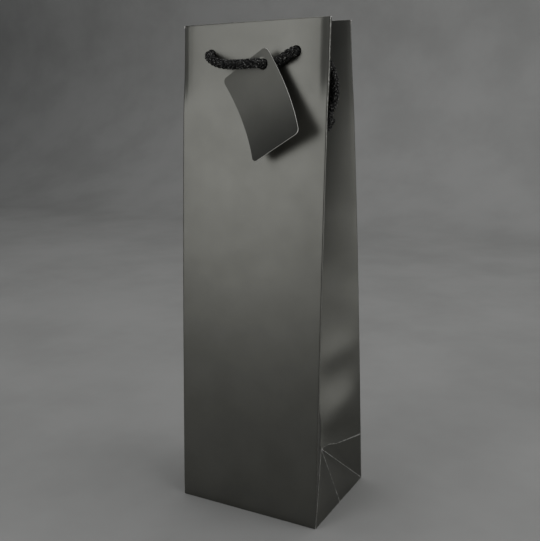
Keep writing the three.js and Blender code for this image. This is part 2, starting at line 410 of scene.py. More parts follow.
def tint(tree, factor, first, second):
    """A colour between two, each a plain colour or another node's colour.

    In a colour mix the two colours are inputs 6 and 7, and the result is output 2.
    """
    node = add_node(tree, "ShaderNodeMix", data_type="RGBA")
    tree.links.new(factor, node.inputs["Factor"])
    for socket, value in ((node.inputs[6], first), (node.inputs[7], second)):
        if isinstance(value, tuple):
            socket.default_value = (*value, 1)
        else:
            tree.links.new(value, socket)
    return node.outputs[2]


def add_bump(tree, shader, height, distance, strength):
    node = add_node(tree, "ShaderNodeBump")
    node.inputs["Distance"].default_value = distance
    node.inputs["Strength"].default_value = strength
    tree.links.new(height, node.inputs["Height"])
    tree.links.new(node.outputs["Normal"], shader.inputs["Normal"])


def satin_film(name, dark, light, bare, grain_scale, roughness):
    """Metallic film on paper or card: cloudy, lightly scuffed, and pale along its folds, where the film is
    worn and a highlight is painted.
    """
    material, tree, shader = new_material(name, 0.9, roughness)
    place = add_node(tree, "ShaderNodeTexCoord").outputs["Object"]
    # Mask of worn film along folds and creases, which also paints the highlight of the rounded folds.
    wear_and_highlight_edge = add_node(tree, "ShaderNodeAttribute", attribute_name="wear").outputs["Fac"]
    grain = placed_group(tree, "grain", Vector=place, Scale=grain_scale)
    marks = placed_group(tree, "marks", Vector=place, Amount=0.22)
    wear = placed_group(tree, "wear", Vector=place, Wear=wear_and_highlight_edge, Breakup=0.35)
    film = tint(tree, grain["Cloud"], dark, light)
    scuffed = tint(tree, marks["Scuffs"], film, tuple(min(1.0, 1.7 * x) for x in light))
    # Where the mask is, the film turns to the pale bare colour: worn film, and a painted highlight along
    # folds and creases.
    tree.links.new(tint(tree, wear["Mask"], scuffed, bare), shader.inputs["Base Color"])
    dull = ramp(tree, marks["Smudges"], 0.0, 1.0, roughness - 0.012, roughness + 0.016)
    wear_and_highlight_amount = calculate(tree, "MULTIPLY", wear["Mask"], 0.16)
    tree.links.new(calculate(tree, "ADD", dull, wear_and_highlight_amount), shader.inputs["Roughness"])
    tree.links.new(ramp(tree, wear["Mask"], 0.0, 1.0, 0.9, 0.45), shader.inputs["Metallic"])
    add_bump(tree, shader, grain["Height"], 0.012 * MM, 0.5)
    return material


def bare_paper(name, dark, light, grain_scale, relief):
    """Uncoated paper or board: matt, with its fibres and pulp clouds showing."""
    material, tree, shader = new_material(name, 0.0, 0.8)
    place = add_node(tree, "ShaderNodeTexCoord").outputs["Object"]
    grain = placed_group(tree, "grain", Vector=place, Scale=grain_scale)
    flecks = ramp(tree, noise(tree, place, 2.2 * grain_scale, 1.0), 0.62, 0.74)
    pulp = tint(tree, grain["Cloud"], dark, light)
    tree.links.new(tint(tree, flecks, pulp, tuple(0.72 * x for x in dark)), shader.inputs["Base Color"])
    tree.links.new(ramp(tree, grain["Height"], 0.6, 1.4, 0.7, 0.9), shader.inputs["Roughness"])
    add_bump(tree, shader, grain["Height"], relief, 0.8)
    return material


def braided_yarn(name):
    """Black cotton yarn with a twist along each strand, painted darker in the twist's grooves and lighter on
    its crests, a pale bloom of loose fibres, and pale flecks that are painted highlights.
    """
    material, tree, shader = new_material(name, 0.0, 0.6)
    shader.inputs["Specular IOR Level"].default_value = 0.3
    shader.inputs["Sheen Weight"].default_value = 0.02
    shader.inputs["Sheen Roughness"].default_value = 0.45
    uv = add_node(tree, "ShaderNodeUVMap", uv_map="strand").outputs["UV"]
    twist = placed_group(tree, "twist", UV=uv, Plies=7.0)
    # The twist pattern colours the yarn darker in its grooves and lighter on its crests: painted shade and
    # highlight.
    plies_with_painted_shade = tint(tree, twist["Height"], (0.001, 0.001, 0.001), (0.006, 0.006, 0.0057))
    place = add_node(tree, "ShaderNodeTexCoord").outputs["Object"]
    # Pale flecks scattered over the yarn: painted highlights where strands catch the light.
    painted_glints = ramp(tree, noise(tree, place, 900.0, 2.0, 0.6), 0.58, 0.66)
    bloom = tint(tree, twist["Fuzz"], plies_with_painted_shade, (0.075, 0.075, 0.071))
    tree.links.new(tint(tree, painted_glints, bloom, (0.28, 0.28, 0.266)), shader.inputs["Base Color"])
    tree.links.new(ramp(tree, twist["Fuzz"], 0.0, 1.0, 0.6, 0.4), shader.inputs["Roughness"])
    height = calculate(tree, "ADD", twist["Height"], calculate(tree, "MULTIPLY", twist["Fuzz"], 0.5))
    add_bump(tree, shader, height, 0.16 * MM, 1.0)
    return material


def plain_floor(name):
    """Matt pale ground with only the faintest clouding."""
    material, tree, shader = new_material(name, 0.0, 0.85)
    place = add_node(tree, "ShaderNodeTexCoord").outputs["Object"]
    clouds = ramp(tree, noise(tree, place, 5.0, 4.0, 0.6), 0.3, 0.7)
    ground = tint(tree, clouds, (0.33, 0.33, 0.322), (0.38, 0.38, 0.372))
    tree.links.new(ground, shader.inputs["Base Color"])
    return material


# Pale colour of worn film along folds and creases, also used as the painted highlight of the folds.
RUBBED_FILM_AND_HIGHLIGHT = (0.36, 0.36, 0.34)
PEWTER = satin_film(
    "pewter_film_paper", (0.127, 0.128, 0.116), (0.141, 0.142, 0.129), RUBBED_FILM_AND_HIGHLIGHT, 1100, 0.36
)
TAG_FILM = satin_film(
    "pewter_film_card", (0.111, 0.112, 0.102), (0.123, 0.124, 0.113), RUBBED_FILM_AND_HIGHLIGHT, 900, 0.46
)
WHITE = bare_paper("white_inner_paper", (0.7, 0.69, 0.66), (0.8, 0.79, 0.76), 900, 0.02 * MM)
GREY = bare_paper("grey_board", (0.3, 0.285, 0.26), (0.42, 0.4, 0.37), 620, 0.05 * MM)
CUT_EDGE = bare_paper("pale_card_edge", (0.5, 0.5, 0.47), (0.66, 0.66, 0.62), 2400, 0.02 * MM)
YARN = braided_yarn("black_braided_yarn")


# ---------------------------------------------------------------- camera, lights and floor
def add_camera():
    data = bpy.data.cameras.new("camera")
    data.lens = CAMERA_LENS
    data.clip_start = 0.01
    camera = linked("camera", data)
    yaw = Matrix.Rotation(math.radians(CAMERA_YAW), 4, "Z")
    pitch = Matrix.Rotation(math.radians(90 - CAMERA_PITCH), 4, "X")
    roll = Matrix.Rotation(math.radians(CAMERA_ROLL), 4, "Z")
    camera.matrix_world = Matrix.Translation(CAMERA_PLACE) @ (yaw @ pitch) @ roll
    bpy.context.scene.camera = camera


def add_soft_light(name, place, aim, width, height, watts, roll=0.0):
    """A rectangular soft light that looks at a point. roll turns it about its own axis, in degrees."""
    data = bpy.data.lights.new(name, "AREA")
    data.shape = "RECTANGLE"
    data.size = width
    data.size_y = height
    data.energy = watts
    light = linked(name, data)
    light.location = place
    turn = (Vector(aim) - Vector(place)).to_track_quat("-Z", "Y").to_matrix()
    light.rotation_euler = (turn @ Matrix.Rotation(math.radians(roll), 3, "Z")).to_euler()


def add_floor():
    """A pale floor that sweeps up into a backdrop."""
    profile = [(FLOOR_FRONT, 0.0), (FLOOR_BACK, 0.0)]
    for i in range(1, SWEEP_STEPS + 1):
        swing = math.pi / 2 * i / SWEEP_STEPS
        back = FLOOR_BACK + SWEEP_RADIUS * math.sin(swing)
        profile.append((back, SWEEP_RADIUS * (1 - math.cos(swing))))
    profile.append((FLOOR_BACK + SWEEP_RADIUS, BACKDROP_TOP))
    across = np.linspace(-FLOOR_HALF_WIDTH, FLOOR_HALF_WIDTH, 9)
    points = np.array([[(x, y, z) for x in across] for y, z in profile])
    mesh = bpy.data.meshes.new("floor_sweep")
    mesh.from_pydata(points.reshape(-1, 3).tolist(), [], grid_quads(*points.shape[:2]).tolist())
    floor = linked("floor_sweep", mesh)
    mesh.materials.append(plain_floor("pale_floor"))
    smooth(floor, 60)


def add_lights():
    add_soft_light("front_left_softbox", (-0.575, -1.1, 0.64), (0.0, -0.02, 0.52), 0.68, 1.25, 5.5, -8)
    add_soft_light("right_fill", (1.12, -0.03, 0.6), (0.05, 0.02, 0.4), 1.4, 1.2, 7.2)
    add_soft_light("low_right_bounce", (0.64, 0.0, 0.015), (0.58, 0.0, 1.0), 0.4, 0.9, 0.75)
    add_soft_light("overhead_softbox", (-0.2, 0.5, 1.9), (-0.3, 0.75, 0), 2.0, 1.3, 13)
    world = bpy.data.worlds.new("studio")
    world.use_nodes = True
    world.node_tree.nodes["Background"].inputs["Color"].default_value = (0.9, 0.95, 1.0, 1)
    world.node_tree.nodes["Background"].inputs["Strength"].default_value = 0.09
    bpy.context.scene.world = world


# ---------------------------------------------------------------- cords
def curve_through(route, steps):
    """Evenly spaced points of a smooth curve through a route's points (a centripetal spline)."""
    points = [Vector(p) for p in route]
    points = [2 * points[0] - points[1], *points, 2 * points[-1] - points[-2]]
    fine = []
    for before, first, last, after in zip(points, points[1:], points[2:], points[3:]):
        pairs = ((before, first), (first, last), (last, after))
        gaps = [max(1e-9, (b - a).length ** 0.5) for a, b in pairs]
        leave = (
            (first - before) / gaps[0]
            - (last - before) / (gaps[0] + gaps[1])
            + (last - first) / gaps[1]
        ) * gaps[1]
        reach = (
            (last - first) / gaps[1]
            - (after - first) / (gaps[1] + gaps[2])
            + (after - last) / gaps[2]
        ) * gaps[1]
        for i in range(12):
            t = i / 12
            fine.append(
                (2 * t**3 - 3 * t**2 + 1) * first
                + (t**3 - 2 * t**2 + t) * leave
                + (3 * t**2 - 2 * t**3) * last
                + (t**3 - t**2) * reach
            )
    fine = np.array([*fine, points[-2]])
    travelled = np.concatenate([[0], np.cumsum(np.linalg.norm(np.diff(fine, axis=0), axis=1))])
    at = np.linspace(0, travelled[-1], steps)
    return np.stack([np.interp(at, travelled, fine[:, i]) for i in range(3)], -1), travelled[-1]


def carried_frames(centres):
    """Two directions square to a line at each of its points, carried along it without twisting."""
    tangents = np.gradient(centres, axis=0)
    tangents /= np.linalg.norm(tangents, axis=1)[:, None]
    side = np.cross(tangents[0], (0.31, 0.17, 0.93))
    sides = []
    for tangent in tangents:
        side = side - (side @ tangent) * tangent
        side = side / np.linalg.norm(side)
        sides.append(side)
    sides = np.array(sides)
    return sides, np.cross(tangents, sides)


def tube_quads(rings, sides, first):
    at = first + np.arange(rings * sides).reshape(rings, sides)
    after = np.roll(at, -1, axis=1)
    return np.stack([at[:-1], after[:-1], after[1:], at[1:]], -1).reshape(-1, 4)


def tube_uvs(run, sides):
    """Places along a tube, in millimetres, and around it, for the corners of its quads in their order."""
    around = np.arange(sides + 1) / sides
    along = run / MM
    corners = []
    for i in range(len(run) - 1):
        for j in range(sides):
            corners += [
                (along[i], around[j]),
                (along[i], around[j + 1]),
                (along[i + 1], around[j + 1]),
                (along[i + 1], around[j]),
            ]
    return corners


def add_tube(vertices, faces, uvs, ring, run):
    """Adds a tube of rings of points to a mesh's lists, with a cap on each end."""
    rings, sides = ring.shape[:2]
    first = len(vertices)
    vertices.extend(ring.reshape(-1, 3))
    faces.extend(tube_quads(rings, sides, first).tolist())
    uvs.extend(tube_uvs(run, sides))
    last = len(vertices)
    for cap in (list(range(first, first + sides))[::-1], list(range(last - sides, last))):
        faces.append(cap)
        uvs.extend([(0.0, 0.0)] * sides)


def braid(name, route, diameter, pitch=CORD_PITCH):
    """A braided cord along a route: twelve strands, half wound each way, two over and two under."""
    total = sum((Vector(b) - Vector(a)).length for a, b in zip(route, route[1:]))
    rings = max(60, int(total / (0.5 * MM)))
    centres, length = curve_through(route, rings)
    sides, others = carried_frames(centres)
    run = np.linspace(0, length, rings)
    radius = diameter / 2
    half_width, half_thickness = 0.27 * radius, 0.2 * radius
    middle, weave = 0.63 * radius, 0.17 * radius
    section = np.linspace(0, 2 * math.pi, STRAND_SIDES, endpoint=False)
    vertices, faces, uvs = [], [], []
    rounded_end = ease(np.minimum(run, length - run) / (0.35 * diameter)) * 0.3 + 0.7
    wound = 2 * math.pi * run / pitch
    for strand in range(STRANDS):
        way = 1 if strand % 2 else -1
        number = strand // 2
        turn = way * wound + number * math.pi / 3
        over = np.cos(3 * wound + way * math.pi / 4) * way * (-1) ** number
        lift = middle + weave * np.tanh(1.6 * over)
        radial = sides * np.cos(turn)[:, None] + others * np.sin(turn)[:, None]
        lengthwise = np.gradient(centres + radial * lift[:, None], axis=0)
        lengthwise /= np.linalg.norm(lengthwise, axis=1)[:, None]
        across = np.cross(lengthwise, radial)
        line = centres + radial * (lift * rounded_end)[:, None]
        ring = (
            line[:, None]
            + across[:, None] * (half_width * np.cos(section))[None, :, None]
            + radial[:, None] * (half_thickness * np.sin(section))[None, :, None]
        )
        add_tube(vertices, faces, uvs, ring, run)
    core = np.linspace(0, 2 * math.pi, CORE_SIDES, endpoint=False)
    ring = centres[:, None] + 0.56 * radius * (
        sides[:, None] * np.cos(core)[None, :, None] + others[:, None] * np.sin(core)[None, :, None]
    )
    add_tube(vertices, faces, uvs, ring, run)
    mesh = bpy.data.meshes.new(name)
    mesh.from_pydata([tuple(v) for v in vertices], [], faces)
    mesh.uv_layers.new(name="strand")
    mesh.uv_layers["strand"].data.foreach_set("uv", np.array(uvs, np.float32).ravel())
    mesh.materials.append(YARN)
    obj = linked(name, mesh)
    only(obj)
    bpy.ops.object.mode_set(mode="EDIT")
    bpy.ops.mesh.select_all(action="SELECT")
    bpy.ops.mesh.normals_make_consistent(inside=False)
    bpy.ops.object.mode_set(mode="OBJECT")
    smooth(obj, 60)
    step = max(1, rings // PATH_POINTS)
    path = [tuple(c) for c in centres[::step]] + [tuple(centres[-1])]
    return obj, path, length


# Points across a wall, above its cord holes and outwards, in millimetres. A tail's are for the right hole.
SPAN_ROUTES = {
    "front": [
        (-34, 0, -6), (-34, 0, -2), (-33.7, -0.3, 2), (-31.6, -1.9, 6.2), (-27.4, -4.4, 9.4),
        (-21.5, -6.9, 11), (-14, -8.2, 11.8), (-5, -8.6, 12.8), (3, -8.5, 13.6), (8.4, -8.3, 12.9),
        (11.6, -8.1, 10.2), (13.2, -8, 6.8), (16.2, -7.8, 4.4), (21, -6.9, 4.1), (26, -5.2, 5.4),
        (30.4, -2.7, 5.8), (33.1, -0.5, 3.2), (34, 0, -1.5), (34, 0, -6),
    ],
    "back": [
        (-34, 0, -6), (-34, 0, -2), (-33.7, -0.3, 2), (-31.7, -2.1, 5.8), (-27.6, -4.9, 7.6),
        (-21, -7.3, 6.4), (-11, -8.8, 5.2), (0, -9.3, 4.8), (11, -8.8, 5.2), (21, -7.3, 6.4),
        (27.6, -4.9, 7.6), (31.7, -2.1, 5.8), (33.7, -0.3, 2), (34, 0, -2), (34, 0, -6),
    ],
}
TAIL_ROUTES = {
    "front": [
        (34, 0, -6.6), (34.1, 0, -10), (36, -0.5, -14.8), (38.4, -4, -18), (39.5, -10.5, -18.5),
        (40, -23.5, -18.4), (40, -38.5, -18.3), (40.4, -52.5, -19.4), (40.6, -61.5, -20.2),
    ],
    "back": [
        (34, 0, -6.6), (34.1, 0, -10), (36.8, -0.3, -14.4), (42, -3.1, -15.4), (46.6, -8.9, -13.8),
        (48.8, -17.5, -12.7), (49.3, -26.5, -12.7), (48.8, -33, -14.4), (47.6, -38.7, -16.4),
    ],
}


def row_route(end, route, sign=1):
    """A route's points in the world, mirrored across the wall when sign is -1."""
    local = [(sign * x * MM, HOLE_HEIGHT + rise * MM, out * MM) for x, rise, out in route]
    return [tuple(wall_frame(end) @ Vector(p)) for p in local]


def add_knot(name, tip, before, body):
    """The cord pulled up in a stopper knot: down through the middle, then wound twice round itself."""
    along = (Vector(tip) - Vector(before)).normalized()
    turn = Vector((0, 0, -1)).rotation_difference(along).to_matrix().to_4x4()
    matrix = Matrix.Translation(Vector(tip) + along * (KNOT_LENGTH / 2 + 0.35 * MM)) @ turn
    half = KNOT_LENGTH / 2 - 2.9 * MM
    path = [(0, 0, KNOT_LENGTH / 2), (0, 0, half), (0.3 * MM, 0, 0), (0, 0.2 * MM, -half * 0.6)]
    for i in range(KNOT_STEPS + 1):
        share = i / KNOT_STEPS
        swing = 2 * math.pi * KNOT_TURNS * share
        out = KNOT_WINDING_RADIUS * (0.35 + 0.65 * float(ease(share * 6)))
        path.append((out * math.cos(swing), out * math.sin(swing), -half + 2 * half * share))
    points = [tuple(matrix @ Vector(p)) for p in path]
    knot = braid(name, points, KNOT_CORD_DIAMETER, KNOT_PITCH)[0]
    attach(knot, body)
    return knot


def add_cords():
    """Both handles, each a span between its wall's holes and two tails that end in knots."""
    for end in ("front", "back"):
        route = row_route(end, SPAN_ROUTES[end])
        span, path, length = braid(f"{end}_handle_braid", route, CORD_DIAMETER)
        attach(span, f"{end}_wall")
        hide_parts(f"{end}_handle_cord")
        for sign in (-1, 1):
            side = "right" if (end == "front") == (sign > 0) else "left"
            body = f"{side}_{end}_gusset"
            route = row_route(end, TAIL_ROUTES[end], sign)
            tail, path, length = braid(f"{end}_tail_braid_{side}", route, CORD_DIAMETER)
            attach(tail, body)
            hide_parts(f"{end}_tail_{side}")
            knot = add_knot(f"{end}_knot_braid_{side}", route[-1], route[-2], body)
            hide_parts(f"{end}_knot_{side}")


# ---------------------------------------------------------------- bag papers
def fold_depth(height):
    """How far the side fold wraps back before the gusset starts: wider where it wraps the card."""
    at_card = ease((height - (HEIGHT - 62 * MM)) / (26 * MM))
    return FOLD_DEPTH + (FOLD_DEPTH_AT_CARD - FOLD_DEPTH) * at_card


def gusset_section(height):
    """Width of a gusset half and its angle from square to the wall, with its valley on the middle plane."""
    depth = fold_depth(height)
    reach = (HALF_DEPTH - height * math.sin(LEAN)) / math.cos(LEAN)
    width = HALF_DEPTH - depth
    return width, np.arccos(np.clip((reach - depth) / width, -1, 1))


def gusset_point(share, height, sign, swell):
    """Points on a gusset half in its wall's frame. share runs from the side fold to the valley."""
    width, angle = gusset_section(height)
    across = share * width
    x = sign * (HALF_WIDTH - across * np.sin(angle) + swell * np.cos(angle))
    x = x + side_bow(sign * HALF_WIDTH, height) * (1 - share) ** 2
    z = -fold_depth(height) - across * np.cos(angle) - swell * np.sin(angle)
    return np.stack([x, height + 0 * x, z], -1)


def panel_swell(x, height):
    """How far a panel stands out.

    It is slightly crowned, rolls away to its sides near the mouth, and is drawn back beside the card.
    """
    share = height / HEIGHT
    crown = 0.25 * MM * (1 - (x / HALF_WIDTH) ** 2) * np.sin(np.pi * np.clip(share, 0, 1))
    near_mouth = ease((height - (HEIGHT - 66 * MM)) / (44 * MM))
    to_side = np.where(x < PANEL_PEAK, HALF_WIDTH + PANEL_PEAK, HALF_WIDTH - PANEL_PEAK)
    off_peak = (x - PANEL_PEAK) / to_side
    roll_away = np.where(off_peak < 0, 0.7 - 1.3 * off_peak**2, 0.7 - 1.05 * off_peak**4) * MM * near_mouth
    at_card = ease((height - (HEIGHT - CARD_HEIGHT - 26 * MM)) / (26 * MM))
    inset = HALF_WIDTH - np.abs(x)
    draw_left = 0.3 * ease(1 - inset / (10 * MM)) + 0.4 * ease(1 - inset / (4.5 * MM))
    draw_right = 0.6 * ease(1 - inset / (7 * MM))
    return crown + roll_away - np.where(x < 0, draw_left, draw_right) * MM * at_card


def side_bow(x, height):
    """Shift along x of a wall's side folds, half way up: one bows outwards and the other slightly in."""
    bow = np.where(np.asarray(x) < 0, -OUTWARD_BOW, -INWARD_BOW) * (np.abs(x) / HALF_WIDTH) ** 8
    return bow * np.sin(np.pi * np.clip(height / HEIGHT, 0, 1))


def heights_up(low, high, coarse, fine):
    """Heights from low to high, with their closer rows over the part below the mouth."""
    middle = HEIGHT - FINE_BELOW_MOUTH
    return np.concatenate([np.linspace(low, middle, coarse)[:-1], np.linspace(middle, high, fine)])


def wear_and_highlight_amount(height):
    """0 low on the bag and 1 near the mouth: the pale worn film and painted highlight of the side folds grow
    towards the mouth.
    """
    return ease((height - 240 * MM) / (80 * MM))


def add_panel(end):
    """A wall's printed panel, from the bottom crease up and over the fold at the mouth."""
    swing = np.linspace(0, math.pi / 2, 7)
    flat_half = HALF_WIDTH - SIDE_ROLL
    rounded_x = flat_half + SIDE_ROLL * np.sin(swing[1:])
    rounded_z = SIDE_ROLL * (np.cos(swing[1:]) - 1)
    flat_x = np.concatenate([
        np.linspace(-flat_half, -flat_half + 8 * MM, 14)[:-1],
        np.linspace(-flat_half + 8 * MM, flat_half - 8 * MM, 40),
        np.linspace(flat_half - 8 * MM, flat_half, 14)[1:],
    ])
    x = np.concatenate([-rounded_x[::-1], flat_x, rounded_x])
    back = np.concatenate([rounded_z[::-1], 0 * flat_x, rounded_z])
    rows = []
    for angle in np.linspace(-math.pi / 2, 0, 7)[:-1]:
        radius = FOOT_ROLL + back
        rows.append((FOOT_ROLL + radius * math.sin(angle), -FOOT_ROLL + radius * math.cos(angle)))
    for height in heights_up(FOOT_ROLL, HEIGHT - EDGE_ROLL, 70, 44):
        rows.append((height + 0 * x, back))
    for angle in np.linspace(0, math.pi, 11)[1:]:
        radius = EDGE_ROLL + back
        rows.append((HEIGHT - EDGE_ROLL + radius * math.sin(angle), -EDGE_ROLL + radius * math.cos(angle)))
    rows.append((HEIGHT - EDGE_ROLL - 1.2 * MM + 0 * x, -EDGE_ROLL - (EDGE_ROLL + back)))
    height = np.array([row[0] for row in rows])
    across = np.broadcast_to(x, height.shape)
    held = np.ones(len(rows))
    held[-11:] = [*(1 + np.cos(np.linspace(0, math.pi, 11)[1:])) / 2, 0]
    out = np.array([row[1] for row in rows]) + panel_swell(across, height) * held[:, None]
    # Pale lines down both side edges, stronger near the mouth, and along the fold at the mouth: worn film and
    # a painted fold highlight.
    wear = np.maximum(
        (0.26 + 0.26 * wear_and_highlight_amount(height))
        * ease((np.abs(across) - HALF_WIDTH + 0.9 * MM) / (0.9 * MM)),
        0.5 * hump(height, HEIGHT, 0.5 * MM),
    )
    matrix = wall_frame(end)
    points = placed(np.stack([across + side_bow(across, height), height, out], -1), matrix)
    outward = matrix.to_3x3() @ Vector((0, 0, 1))
    panel = paper_piece(f"{end}_panel_paper", points, wear, outward, (PEWTER, WHITE))
    for sign in (-1, 1):
        centre = matrix @ Vector((sign * HOLE_SPACING / 2, HOLE_HEIGHT, 0))
        bored(panel, centre, outward, PANEL_HOLE, 1.6 * MM, WHITE)
    smooth(panel)
    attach(panel, f"{end}_wall")
    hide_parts(f"{end}_panel")


def add_side_fold(end, side, sign):
    """The narrow band where the paper turns the side fold, between a panel and a gusset half."""
    heights = heights_up(1 * MM, HEIGHT - 0.6 * MM, 24, 30)
    share = np.linspace(0, 1, 6)
    height, across = np.meshgrid(heights, share, indexing="ij")
    start = -(SIDE_ROLL - 0.1 * MM) + panel_swell(sign * HALF_WIDTH, height)
    end_depth = -fold_depth(height) - 0.15 * MM
    out = start + (end_depth - start) * across
    bulge = 0.05 * MM * np.sin(np.pi * across)
    local = np.stack([sign * (HALF_WIDTH - 0.02 * MM + bulge), height, out], -1)
    local[..., 0] += side_bow(local[..., 0], height)
    # The whole band is pale, more at its panel edge and near the mouth: worn film and a painted highlight on
    # the side fold.
    wear = 0.2 + 0.15 * hump(across, 0.0, 0.5) + 0.15 * wear_and_highlight_amount(height)
    matrix = wall_frame(end)
    outward = matrix.to_3x3() @ Vector((sign, 0, 0))
    band = paper_piece(f"{side}_side_fold_{end}", placed(local, matrix), wear, outward, (PEWTER, WHITE))
    smooth(band)
    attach(band, f"{end}_wall")


def level_crease(share):
    """Height of the crease that runs level round the foot of a gusset half, dipping towards the side fold."""
    return HALF_DEPTH - 3.6 * MM * (1 - share) ** 0.8 + 1.6 * MM * hump(share, 0.82, 0.13)


def gusset_swell(share, height):
    """How far a gusset half stands out of its twisted plane, in soft buckles where it is pressed."""
    arch = np.sin(np.pi * share) ** 0.8
    slant = 9 * MM * (share - 0.5)
    ridges = (
        2.4 * hump(height + slant, 71 * MM, 17 * MM) + 1.1 * hump(height + slant, 116 * MM, 12 * MM)
        + 0.55 * hump(height, 160 * MM, 14 * MM) + 0.8 * hump(height - slant, 213 * MM, 21 * MM)
    )
    full = 0.5 + 1.3 * ease((height - 200 * MM) / (70 * MM))
    return arch * MM * (full + ridges) * ease((height - 40 * MM) / (24 * MM))


def bore_for_tail(paper, matrix, sign):
    """Cuts the hole by which a cord's tail passes a paper of a gusset half."""
    across = sign * (HOLE_SPACING / 2 + GUSSET_HOLE_SHIFT)
    centre = matrix @ Vector((across, HOLE_HEIGHT, -GUSSET_BORE_DEPTH))
    outward = matrix.to_3x3() @ Vector((0, 0, 1))
    bored(paper, centre, outward, GUSSET_HOLE, GUSSET_BORE_LENGTH, WHITE)


def add_gusset_half(end, side, sign):
    """Half of a folded-in side, from the level crease at the foot up and over the fold at the mouth."""
    rise = np.concatenate([np.linspace(0, 0.34, 60)[:-1], np.linspace(0.34, 1, 70)])
    share = np.linspace(0, 1, 26)
    rise, share = np.meshgrid(rise, share, indexing="ij")
    top = HEIGHT - GUSSET_ROLL
    height = level_crease(share) * (1 - rise) + top * rise
    local = gusset_point(share, height, sign, gusset_swell(share, height))
    turned = []
    width, angle = gusset_section(top)
    inward = np.array([-sign * math.cos(angle), 0, math.sin(angle)])
    for swing in np.linspace(0, math.pi, 8)[1:]:
        row = local[-1] + inward * GUSSET_ROLL * (1 - math.cos(swing))
        row[:, 1] += GUSSET_ROLL * math.sin(swing)
        turned.append(row)
    # Pale lines along the level crease and the valley crease: a painted highlight on the rounded creases,
    # partly worn film.
    wear = np.maximum(
        0.95 * hump(height, level_crease(share), 0.75 * MM) * (1 - 0.5 * share),
        0.25 * hump(share, 1.0, 0.012),
    )
    grid = np.concatenate([local, np.array(turned)])
    # The turn over the mouth is pale all along: worn film and a painted fold highlight.
    wear = np.concatenate([wear, 0.35 * np.ones((len(turned), wear.shape[1]))])
    matrix = wall_frame(end)
    outward = matrix.to_3x3() @ Vector((sign * 0.8, 0, -0.6))
    half = paper_piece(f"{side}_gusset_paper_{end}", placed(grid, matrix), wear, outward, (PEWTER, WHITE))
    bore_for_tail(half, matrix, sign)
    smooth(half)
    bend(half)
    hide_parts(f"{side}_gusset_{end}")


def bend(piece):
    """Bakes a paper's placement into its points; it is not attached to a body, so it neither turns with its
    gusset at the mouth nor stays with its wall at the foot.
    """
    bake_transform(piece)


def add_gusset_hem(end, side, sign):
    """The top of a gusset half turned in over itself. Its film side faces into the bag."""
    rise, share = np.meshgrid(np.linspace(0, 1, 16), np.linspace(0.05, 0.96, 18), indexing="ij")
    height = HEIGHT - HEM_HEIGHT + rise * (HEM_HEIGHT - 0.7 * MM)
    local = gusset_point(share, height, sign, gusset_swell(share, height) - 2 * GUSSET_ROLL)
    # A pale line along its lower fold: worn film and a painted fold highlight.
    wear = 0.5 * hump(rise, 0.0, 0.01)
    matrix = wall_frame(end)
    inward = matrix.to_3x3() @ Vector((-sign * 0.8, 0, 0.6))
    points = placed(local, matrix)
    hem = paper_piece(f"{side}_gusset_hem_paper_{end}", points, wear, inward, (PEWTER, WHITE))
    bore_for_tail(hem, matrix, sign)
    smooth(hem)
    bend(hem)
    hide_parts(f"{side}_gusset_{end}_hem")


def add_wall_hem(end):
    """The top of a panel turned in over the card. Its film side faces into the bag."""
    half = HALF_WIDTH - 1.2 * MM
    x, rise = np.meshgrid(np.linspace(-half, half, 40), np.linspace(0, 1, 16), indexing="xy")
    height = HEIGHT - HEM_HEIGHT + rise * (HEM_HEIGHT - 1.6 * MM)
    droop = 0.12 * MM * np.sin(x / (9 * MM)) * (1 - rise)
    local = np.stack([x, height, -HEM_DEPTH - PAPER - 0.06 * MM - np.abs(droop)], -1)
    matrix = wall_frame(end)
    inward = matrix.to_3x3() @ Vector((0, 0, -1))
    # A pale line along its lower fold: worn film and a painted fold highlight.
    wear = 0.5 * hump(rise, 0.0, 0.01)
    points = placed(local, matrix)
    hem = paper_piece(f"{end}_hem_paper", points, wear, inward, (PEWTER, WHITE), 0.25 * MM)
    for sign in (-1, 1):
        centre = matrix @ Vector((sign * HOLE_SPACING / 2, HOLE_HEIGHT, -HEM_DEPTH))
        bored(hem, centre, inward, PANEL_HOLE, 3 * MM, WHITE)
    smooth(hem)
    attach(hem, f"{end}_wall")
    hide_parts(f"{end}_hem")


def valley_point(sign, end):
    """The point of the foot's triangles, where a gusset's valley meets the level crease."""
    local = gusset_point(1.0, level_crease(1.0), sign, 0.0)
    return np.array(wall_frame(end) @ Vector(local))


def add_corner_triangle(end, side, sign):
    """The upright triangle under a gusset's level crease, down its diagonal crease to the bag's corner."""
    rise, share = np.meshgrid(np.linspace(0.0, 1, 40), np.linspace(0, 1, 26), indexing="ij")
    width, angle = gusset_section(HALF_DEPTH)
    foot = np.array([sign * (HALF_WIDTH - 0.05 * MM), FOOT_EDGE, -0.35 * MM])
    crease = gusset_point(share, level_crease(share), sign, 0 * share)
    hollow = -0.5 * MM * np.sin(np.pi * share) * rise
    square = np.array([sign * math.cos(angle), 0, -math.sin(angle)])
    local = foot * (1 - rise)[..., None] + crease * rise[..., None] + hollow[..., None] * square
    to_diagonal = (1 - share) * rise * width
    to_level = (1 - rise) * HALF_DEPTH
    # Pale lines along the diagonal crease and the level crease: a painted highlight on the creases, partly
    # worn film.
    wear = np.maximum(
        0.75 * hump(to_diagonal, 0, 0.7 * MM),
        0.8 * hump(to_level, 0, 0.6 * MM) * (1 - 0.6 * share),
    )
    matrix = wall_frame(end)
    outward = matrix.to_3x3() @ Vector((sign, 0, -0.3))
    corner = paper_piece(f"{side}_corner_paper_{end}", placed(local, matrix), wear, outward, (PEWTER, WHITE))
    smooth(corner)
    bend(corner)
    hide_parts(f"{side}_corner_triangle_{end}")


